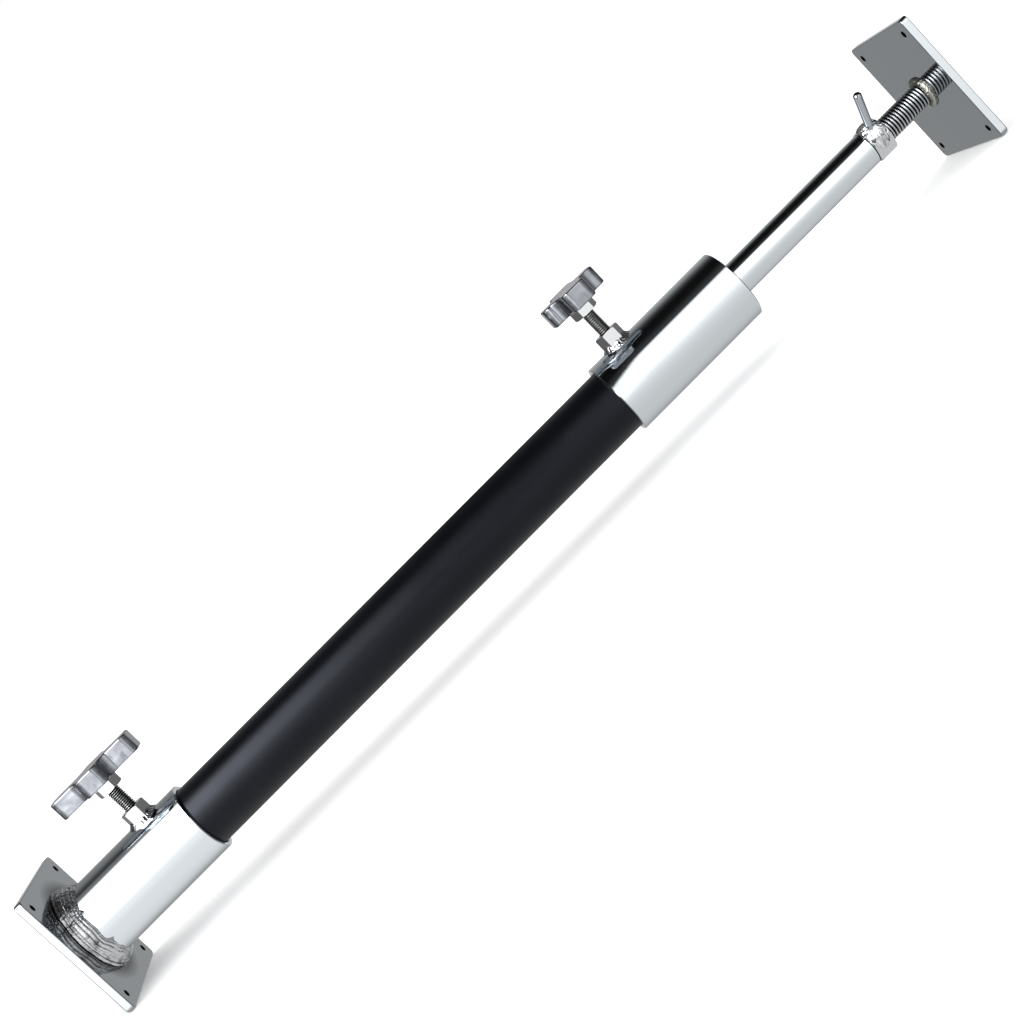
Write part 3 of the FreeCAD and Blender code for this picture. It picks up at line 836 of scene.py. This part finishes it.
@dataclass(frozen=True, kw_only=True)
class MoundWeld(Bead):
    """A heaped weld that lies round a bar whose axis is Z, centred at z = 0 and angle zero."""

    half_length: float
    half_sweep: float
    height: float
    sides: int = 200
    rows: int = 90

    def plant(self, nodes: Nodes, size: Sizes) -> Node:
        """Adds the nodes that heap the bead."""
        grid, turn, row = self.lattice(nodes, size)
        last = nodes.add(MATH, size["rows"], 1.0, operation="SUBTRACT")
        share = nodes.add(MATH, row, last, operation="DIVIDE")
        relief = self.relief(nodes, size, turn, share)
        rise = nodes.add(MATH, share, math.pi, operation="MULTIPLY")
        girth = nodes.add(MATH, rise, operation="SINE")
        level = nodes.add(MATH, nodes.add(MATH, rise, operation="COSINE"), -1.0, operation="MULTIPLY")
        reaches = []
        for half, lean in zip(("half_length", "half_sweep"), nodes.on_circle(turn, 1.0)):
            side = nodes.add(MATH, girth, lean, operation="MULTIPLY")
            full = nodes.add(MATH, size[half], relief, operation="ADD")
            reaches.append(nodes.add(MATH, side, full, operation="MULTIPLY"))
        along, sweep = reaches
        tall = nodes.add(MATH, size["height"], relief, operation="ADD")
        radius = nodes.add(MATH, level, tall, size["radius"], operation="MULTIPLY_ADD")
        angle = nodes.add(MATH, sweep, size["radius"], operation="DIVIDE")
        share_of_turn = nodes.add(MATH, angle, 1 / FULL_TURN, operation="MULTIPLY")
        return self.roll_up(nodes, grid, share_of_turn, radius, along)


def turn_outwards(mesh: bpy.types.Mesh) -> None:
    """Points a closed mesh's faces outwards."""
    shell = bmesh.new()
    shell.from_mesh(mesh)
    bmesh.ops.recalc_face_normals(shell, faces=shell.faces)
    shell.to_mesh(mesh)
    shell.free()


# ---- Sub-assemblies ----


def half_height(node: str) -> float:
    """Half of a part's height, which is a round part's radius when it lies along X."""
    low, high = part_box(node)
    return (high.z - low.z) / 2


def along_x(x: float, way: int = 1) -> Matrix:
    """A frame whose Z axis runs along the bar.

    Args:
        x: Where its origin is.
        way: 1 for towards +X and -1 for towards -X.

    Returns:
        The frame's place.
    """
    return Matrix.Translation((x, 0.0, 0.0)) @ Matrix.Rotation(way * math.pi / 2, 4, "Y")


@dataclass
class Assembly:
    """A group of pieces that are built and dressed together."""

    frame: dict[str, Any]

    def dress(self, finish: Finish, *names: str) -> None:
        """Gives carried-over parts their finish.

        Args:
            finish: The finish.
            *names: The parts.
        """
        material = finish.material()
        for name in names:
            for held in self.frame["nodes"][name].material_slots:
                held.material = material
            LOG.info("%s: %s", name, finish.name)

    def fit(
        self, shape: RuledShape, finish: Finish, place: Matrix, how: str, node: str, body: Body, slot: Slot
    ) -> None:
        """Grows a shape in the place of a part.

        Args:
            shape: The shape.
            finish: Its finish.
            place: Where its own frame lies.
            how: The word for how it was made, which begins the new piece's name.
            node: The part that it stands for.
            body: The body that it rides on.
            slot: Not used.
        """
        piece = shape.grow(f"{how}_{node}", finish.material(), place)
        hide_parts(node)
        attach(piece, body.value)
        LOG.info("%s: %d faces, rides on %s", piece.name, len(piece.data.polygons), body.value)

    def lay_ring(self, node: str, tube: str, bead: Finish, body: Body, way: int = 1, **others: Any) -> None:
        """Lays a ring weld in the place of a part, round a tube that lies along the bar.

        Args:
            node: The part that it stands for.
            tube: The tube.
            bead: The weld's finish.
            body: The body that it rides on.
            way: 1 where the tube leaves the plate towards +X and -1 where it does towards -X.
            **others: The ring's other sizes.
        """
        low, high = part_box(node)
        radius = half_height(tube)
        leg_out = half_height(node) - radius
        shape = RingWeld(radius=radius, leg_out=leg_out, leg_along=high.x - low.x, **others)
        place = along_x(low.x if way > 0 else high.x, way)
        self.fit(shape, bead, place, "rippled", node, body, Slot.WELD)

    def build(self) -> None:
        """Builds and dresses the assembly."""
        raise NotImplementedError


@dataclass
class PlateEnd(Assembly):
    """An end of the bar with a plate that is screwed to a wall."""

    def dress_plate(self, node: str, mount: str, name: str, scorch_radius: float = 0.0) -> None:
        """Dresses the plate.

        Args:
            node: The plate.
            mount: The record's mount that says where its screw holes are.
            name: The finish's name.
            scorch_radius: How far from the bar's axis the plate is darkened by painted shade.
        """
        holes = next(m["dims"] for m in self.frame["record"]["mounts"] if m["name"] == mount)
        finish = DrilledPlate(
            name,
            half_side=half_height(node),
            hole_from_middle=holes["spacing_x_mm"] / 2 * MM,
            hole_radius=holes["hole_r_mm"] * MM,
            scorch_radius=scorch_radius,
        )
        self.dress(finish, node)


@dataclass
class WallEnd(PlateEnd):
    """The base plate and the socket that is welded to it."""

    # How far past the weld bead the painted shade on the plate reaches.
    scorch_past_weld: float = 2 * MM
    weld_passes: float = 6.0
    pass_depth: float = 0.5 * MM
    ripple_depth: float = 0.1 * MM
    lump_depth: float = 1.5 * MM

    def build(self) -> None:
        """Builds and dresses the wall end."""
        # The plate's painted shade round the weld reaches this far from the bar's axis.
        weld_shade_reach = half_height("socket_weld") + self.scorch_past_weld
        self.dress_plate("base_plate", "wall_screws", "Chrome plate, rolled and buffed", weld_shade_reach)
        self.dress(BrightChrome("Chrome plate on drawn socket tube", "#EAF0F4", 0.022), "wall_socket")
        self.lay_weld()

    def lay_weld(self) -> None:
        """Lays the heavy weld between the plate and the socket."""
        self.lay_ring(
            "socket_weld",
            "wall_socket",
            PlatedWeld("Plated multi-pass weld", "#E6E7E9", 0.1),
            Body.BASE,
            bulge=1.3,
            passes=self.weld_passes,
            pass_depth=self.pass_depth,
            ripple_depth=self.ripple_depth,
            lump_depth=self.lump_depth,
            lump_scale=170.0,
            seed=1.7,
            sides=720,
            rows=44,
        )


@dataclass
class Clamp(Assembly):
    """A welded boss nut, its screw, lock nut and cast knob."""

    prefix: str
    tube: str
    tube_body: Body
    knob_body: Body
    pitch: float = 1.5 * MM
    seed: float = 0.0

    def build(self) -> None:
        """Builds and dresses the clamp."""
        nut = BrightChrome(
            f"Chrome plate on {self.prefix} hexagon nuts",
            "#E6E8EA",
            0.06,
            cloud_mm=6.0,
            line_mm=0.4,
            along=Axis.Z,
        )
        knob = CastAlloy(f"Nickel-plated cast zinc, {self.prefix} knob", "#A4A7AE", 0.09)
        brass = TurnedMetal(f"Turned brass, {self.prefix} pad", "#B99A55", 0.3, along=Axis.Z)
        self.dress(nut, f"{self.prefix}_boss_nut", f"{self.prefix}_lock_nut")
        self.dress(knob, f"{self.prefix}_clamp_knob")
        self.dress(brass, f"{self.prefix}_pressure_pad")
        self.cut_screw()
        self.lay_weld()

    def cut_screw(self) -> None:
        """Cuts the clamp screw's thread and its plain tip."""
        node = f"{self.prefix}_clamp_screw"
        low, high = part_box(node)
        middle = (low + high) / 2
        crest = (high.x - low.x) / 2
        pad_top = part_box(f"{self.prefix}_pressure_pad")[1].z
        shape = Thread.cut(
            high.z - low.z, self.pitch, crest, tip_length=pad_top - low.z, tip_radius=crest / 2, sides=40
        )
        steel = CutThread(
            f"Zinc-plated {self.prefix} screw thread",
            "#D3D4D2",
            0.18,
            centre=tuple(middle),
            along=Axis.Z,
            root_radius=shape.root_radius,
            crest_radius=crest,
        )
        foot = Matrix.Translation((middle.x, middle.y, low.z))
        self.fit(shape, steel, foot, "threaded", node, self.knob_body, Slot.SCREW)

    def lay_weld(self) -> None:
        """Lays the flared weld between the boss nut and its tube."""
        node = f"{self.prefix}_boss_weld"
        low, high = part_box(node)
        nut_low, nut_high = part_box(f"{self.prefix}_boss_nut")
        tube_radius = half_height(self.tube)
        boss = (nut_high.y - nut_low.y) / 2
        shape = SaddleWeld(
            tube_radius=tube_radius,
            radius=boss,
            leg_out=(high.x - low.x) / 2 - boss,
            leg_along=high.z - tube_radius,
            seed=self.seed,
        )
        bead = PlatedWeld(f"Plated boss weld, {self.prefix}", "#E2E3E5", 0.08)
        place = Matrix.Translation(((low.x + high.x) / 2, 0.0, 0.0))
        self.fit(shape, bead, place, "flared", node, self.tube_body, Slot.WELD)


@dataclass
class GripBar(Assembly):
    """The coated tube that the hands hold."""

    def build(self) -> None:
        """Dresses the grip bar."""
        self.dress(PowderCoat("Satin black powder coat", "#030407", 0.25), "grip_bar")


@dataclass
class ReducerSleeve(Assembly):
    """The outer sleeve, the bush in it and the thin tube."""

    def build(self) -> None:
        """Builds and dresses the sleeve."""
        thin = BrightChrome("Chrome plate on thin tube", "#E8EEF1", 0.02, cloud=0.015, cloud_mm=12.0)
        self.dress(BrightChrome("Chrome plate on drawn sleeve tube", "#EAF0F4", 0.022), "reducer_sleeve")
        self.dress(thin, "thin_tube")
        self.dress(TurnedMetal("Turned and plated bush", "#B4B6B8", 0.2), "reducer_bush")
        self.lay_weld()

    def lay_weld(self) -> None:
        """Lays the small weld between the bush and the thin tube."""
        bead = PlatedWeld("Plated weld in the bush", "#C9CACC", 0.14)
        self.lay_ring("thin_tube_weld", "thin_tube", bead, Body.SLEEVE, lump_depth=0.5 * MM, seed=3.1)


@dataclass
class LeverNut(Assembly):
    """The adjusting nut and the short lever that turns it."""

    lever_angle: float = math.radians(135.0)
    weld_half_sweep: float = 17 * MM
    weld_height: float = 2.4 * MM
    weld_lift: float = 0.2 * MM

    def build(self) -> None:
        """Builds and dresses the lever nut."""
        nut = BrightChrome("Chrome plate on the adjusting nut", "#E6E8EA", 0.06, cloud_mm=6.0, line_mm=0.4)
        lever = BrightChrome("Chrome plate on round bar", "#C3C8CF", 0.05, cloud_mm=6.0, along=Axis.Z)
        self.dress(nut, "adjusting_nut")
        self.dress(lever, "nut_lever")
        self.lay_weld()

    def lay_weld(self) -> None:
        """Heaps the weld at the lever's foot."""
        low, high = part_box("lever_weld")
        bead = PlatedWeld(
            "Plated lever weld", "#E8EAEC", 0.08, hollow_colour="#3A3C3E", grain_mm=0.9, grain_bump=0.7
        )
        shape = MoundWeld(
            radius=half_height("adjusting_nut") + self.weld_lift,
            half_length=(high.x - low.x) / 2,
            half_sweep=self.weld_half_sweep,
            height=self.weld_height,
            ripples=9.0,
            ripple_depth=0.5 * MM,
            passes=4.0,
            pass_depth=0.3 * MM,
            lump_depth=2.0 * MM,
            lump_scale=560.0,
            seed=5.3,
        )
        towards_lever = Matrix.Rotation(self.lever_angle - math.pi / 2, 4, "X")
        middle = Matrix.Translation(((low.x + high.x) / 2, 0.0, 0.0))
        laid_down = Matrix.Rotation(math.pi / 2, 4, "Y") @ Matrix.Rotation(math.pi, 4, "Z")
        place = middle @ towards_lever @ laid_down
        self.fit(shape, bead, place, "heaped", "lever_weld", Body.LEVER_NUT, Slot.WELD)


@dataclass
class Jack(PlateEnd):
    """The threaded rod and the end plate welded to it."""

    pitch: float = 2.5 * MM

    def build(self) -> None:
        """Builds and dresses the jack."""
        self.dress_plate("end_plate", "far_wall_screws", "Chrome plate, rolled and buffed, far end")
        self.cut_rod()
        self.lay_weld()

    def cut_rod(self) -> None:
        """Cuts the jack rod's thread."""
        low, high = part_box("threaded_rod")
        crest = half_height("threaded_rod")
        shape = Thread.cut(high.x - low.x, self.pitch, crest, crest_flat=0.2, root_flat=0.44, sides=48)
        steel = CutThread(
            "Chrome-plated rod thread", "#C6C8CC", 0.14, root_radius=shape.root_radius, crest_radius=crest
        )
        self.fit(shape, steel, along_x(low.x), "cut", "threaded_rod", Body.JACK, Slot.SCREW)

    def lay_weld(self) -> None:
        """Lays the weld between the rod and the end plate."""
        self.lay_ring(
            "rod_weld",
            "threaded_rod",
            PlatedWeld("Straw-tinted rod weld", "#B4B3A9", 0.16, grain_mm=0.9, grain_bump=0.3),
            Body.JACK,
            way=-1,
            ripples=22.0,
            ripple_depth=0.25 * MM,
            lump_depth=0.8 * MM,
            seed=8.2,
            sides=260,
        )


# ---- Studio ----

# The brightest level below, which the colour ramps are scaled by.
BRIGHTEST = 8.0
# How bright the studio is round the bar, by degrees above the front, towards each end of the bar.
NEAR_END_LIGHT: Stops = (
    (-180, 0.45), (-158, 0.45), (-144, 0.30), (-125, 0.46), (-105, 0.70), (-80, 0.82), (-40, 0.86),
    (-14, 1.05), (0, 1.8), (20, 4.0), (35, 8.0), (62, 8.0), (76, 3.4), (83, 1.4), (87, 0.9), (90, 0.24),
    (100, 0.16), (107, 0.04), (116, 0.07), (128, 0.17), (150, 0.24), (162, 0.30), (172, 0.45), (180, 0.45),
)
FAR_END_LIGHT: Stops = (
    (-180, 0.54), (-158, 0.54), (-144, 0.36), (-112, 0.56), (-90, 0.62), (-60, 0.64), (-35, 0.70),
    (-20, 0.80), (-8, 0.98), (3, 1.25), (8, 1.4), (50, 1.4), (54, 0.9), (58, 0.05), (80, 0.006),
    (102, 0.004), (113, 0.02), (123, 0.07), (135, 0.19), (150, 0.36), (162, 0.42), (172, 0.54), (180, 0.54),
)
# How much of the light from the front is kept, by how far it comes from along the bar, from -1 to 1.
SOFTBOX_LIGHT: Stops = (
    (-1.0, 0.3), (-0.8, 0.3), (-0.5, 0.32), (-0.42, 0.95), (-0.2, 1.0), (-0.11, 0.3), (-0.02, 0.02),
    (0.04, 0.1), (0.1, 0.8), (0.15, 1.0), (0.4, 1.0), (0.5, 0.4), (0.85, 0.3), (1.0, 0.3),
)


def fill_ramp(ramp: bpy.types.ColorRamp, stops: list[tuple[float, float]]) -> None:
    """Gives a colour ramp its stops.

    Args:
        ramp: The ramp.
        stops: Places from 0 to 1, and the grey level at each.
    """
    while len(ramp.elements) < len(stops):
        ramp.elements.new(1.0)
    for element, (position, _) in zip(ramp.elements, stops):
        element.position = position
    for element, (_, level) in zip(ramp.elements, stops):
        element.color = (level, level, level, 1.0)


@dataclass
class Studio:
    """The camera, the floor and the light.

    Only bright metal mirrors the pattern of light. It is laid out by the turn round the bar, from 0 behind
    through 0.25 below and 0.5 in front to 0.75 above, and by the lean along the bar, from -1 to 1. Each
    pair of fields gives where one part of the pattern begins to give way to the next and where it has.
    """

    lens_mm: float = 56.6
    sensor_mm: float = 36.0
    camera_from_middle: tuple[float, float, float] = (-9.65 * MM, -1095.6 * MM, 131.2 * MM)
    camera_roll: float = math.radians(45.03)
    camera_down: float = math.radians(7.72)
    camera_aside: float = math.radians(0.55)
    floor_gap: float = 0.4 * MM
    floor_half: float = 12.0
    even_light: float = 1.6
    below_to_front: tuple[float, float] = (0.43, 0.54)
    middle_to_ends: tuple[float, float] = (0.55, 0.75)
    near_to_far: tuple[float, float] = (-0.26, -0.08)
    ceiling_drop: float = 21 / 360
    ceiling_drop_ends: tuple[float, float] = (0.10, 0.13)

    def build(self, low: Vector, high: Vector) -> None:
        """Builds the studio.

        Args:
            low: The object's lowest corner.
            high: Its highest corner.
        """
        self.set_camera((low + high) / 2)
        self.lay_floor(low.z - self.floor_gap)
        self.light_up()
        bpy.context.scene.view_settings.view_transform = "Standard"

    def set_camera(self, middle: Vector) -> None:
        """Sets the camera up.

        Args:
            middle: The middle of the object's box.
        """
        data = bpy.data.cameras.new("Camera")
        data.lens = self.lens_mm
        data.sensor_width = self.sensor_mm
        camera = bpy.data.objects.new("Camera", data)
        bpy.context.scene.collection.objects.link(camera)
        level = Matrix(((1, 0, 0), (0, 0, 1), (0, -1, 0)))
        roll = Matrix.Rotation(self.camera_roll, 3, "Z")
        down = Matrix.Rotation(self.camera_down, 3, "X")
        aside = Matrix.Rotation(self.camera_aside, 3, "Y")
        facing = (roll @ down @ aside @ level).transposed()
        camera.matrix_world = Matrix.Translation(middle + Vector(self.camera_from_middle)) @ facing.to_4x4()
        bpy.context.scene.camera = camera

    def lay_floor(self, height: float) -> None:
        """Lays a matt pale floor, which bright metal doesn't mirror.

        Args:
            height: Where its face is.
        """
        mesh = bpy.data.meshes.new("studio_floor")
        board = bmesh.new()
        bmesh.ops.create_grid(board, x_segments=8, y_segments=8, size=self.floor_half)
        bmesh.ops.translate(board, verts=board.verts, vec=(0.0, 0.0, height))
        board.to_mesh(mesh)
        board.free()
        floor = bpy.data.objects.new("studio_floor", mesh)
        bpy.context.scene.collection.objects.link(floor)
        floor.visible_glossy = False
        paint = bpy.data.materials.new("Matt white paint")
        paint.use_nodes = True
        shader = paint.node_tree.nodes["Principled BSDF"]
        shader.inputs["Base Color"].default_value = linear("#F6F6F6")
        shader.inputs["Roughness"].default_value = 0.95
        shader.inputs["Specular IOR Level"].default_value = 0.1
        mesh.materials.append(paint)
        floor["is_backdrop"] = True

    def light_up(self) -> None:
        """Lights the studio evenly, and gives bright metal white walls and a dark ceiling to mirror."""
        world = bpy.data.worlds.new("Studio")
        bpy.context.scene.world = world
        world.use_nodes = True
        world.node_tree.nodes.clear()
        nodes = Nodes(world.node_tree)
        white = (1.0, 1.0, 1.0, 1.0)
        mirrored = nodes.add("ShaderNodeBackground", self.mirrored_light(nodes), BRIGHTEST)
        even = nodes.add("ShaderNodeBackground", white, self.even_light)
        paper = nodes.add("ShaderNodeBackground", white, 1.0)
        path = nodes.add("ShaderNodeLightPath")
        bounced = nodes.add("ShaderNodeMixShader", path.outputs["Is Glossy Ray"], even, mirrored)
        seen = nodes.add("ShaderNodeMixShader", path.outputs["Is Camera Ray"], bounced, paper)
        nodes.add("ShaderNodeOutputWorld", seen)

    def mirrored_light(self, nodes: Nodes) -> Node:
        """Adds the pattern of light that bright metal mirrors.

        Args:
            nodes: The world's tree.

        Returns:
            The colour node.
        """
        way = nodes.add("ShaderNodeSeparateXYZ", nodes.add("ShaderNodeTexCoord").outputs["Generated"])
        lean = way.outputs["X"]
        ahead = nodes.add(MATH, way.outputs["Y"], -1.0, operation="MULTIPLY")
        rise = nodes.add(MATH, way.outputs["Z"], ahead, operation="ARCTAN2")
        turn = nodes.add(MATH, rise, 1 / FULL_TURN, 0.5, operation="MULTIPLY_ADD")
        front = nodes.add(RANGE, turn, *self.below_to_front, 0.0, 1.0)
        drop = nodes.add(RANGE, lean, *self.ceiling_drop_ends, self.ceiling_drop, 0.0)
        lowered = nodes.add(MATH, drop, front, turn, operation="MULTIPLY_ADD")
        far_end = nodes.add(RANGE, lean, *self.near_to_far, 0.0, 1.0, interpolation_type="SMOOTHSTEP")
        near = self.ring_of_light(nodes, turn, NEAR_END_LIGHT)
        far = self.ring_of_light(nodes, lowered, FAR_END_LIGHT)
        ring = nodes.add(MIX, far_end, near, far, data_type="RGBA")
        off_middle = nodes.add(MATH, lean, operation="ABSOLUTE")
        ends = nodes.add(RANGE, off_middle, *self.middle_to_ends, 0.0, 1.0)
        softened = nodes.add(MATH, front, ends, operation="MAXIMUM")
        boxes = nodes.add("ShaderNodeValToRGB", nodes.add(RANGE, lean, -1.0, 1.0, 0.0, 1.0))
        fill_ramp(boxes.color_ramp, [((place + 1) / 2, level) for place, level in SOFTBOX_LIGHT])
        return nodes.add(MIX, softened, ring, boxes, data_type="RGBA", blend_type="MULTIPLY")

    def ring_of_light(self, nodes: Nodes, turn: Node, levels: Stops) -> Node:
        """Adds the light that comes from round the bar.

        Args:
            nodes: The world's tree.
            turn: The share of a turn.
            levels: Angles in degrees above the front, and how bright the light is there.

        Returns:
            The colour node.
        """
        ramp = nodes.add("ShaderNodeValToRGB", turn)
        fill_ramp(ramp.color_ramp, [((degrees + 180) / 360, level / BRIGHTEST) for degrees, level in levels])
        return ramp


def main(frame: dict[str, Any]) -> None:
    """Builds the studio and every sub-assembly.

    Args:
        frame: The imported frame.
    """
    Studio().build(*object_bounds())
    WallEnd(frame).build()
    Clamp(frame, "socket", "wall_socket", Body.BASE, Body.SOCKET_KNOB, seed=0.4).build()
    GripBar(frame).build()
    ReducerSleeve(frame).build()
    Clamp(frame, "sleeve", "reducer_sleeve", Body.SLEEVE, Body.SLEEVE_KNOB, seed=2.9).build()
    LeverNut(frame).build()
    Jack(frame).build()


if __name__ == "__main__":
    logging.basicConfig(level=logging.INFO, format="%(name)s: %(message)s")
    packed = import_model()
    main(packed)
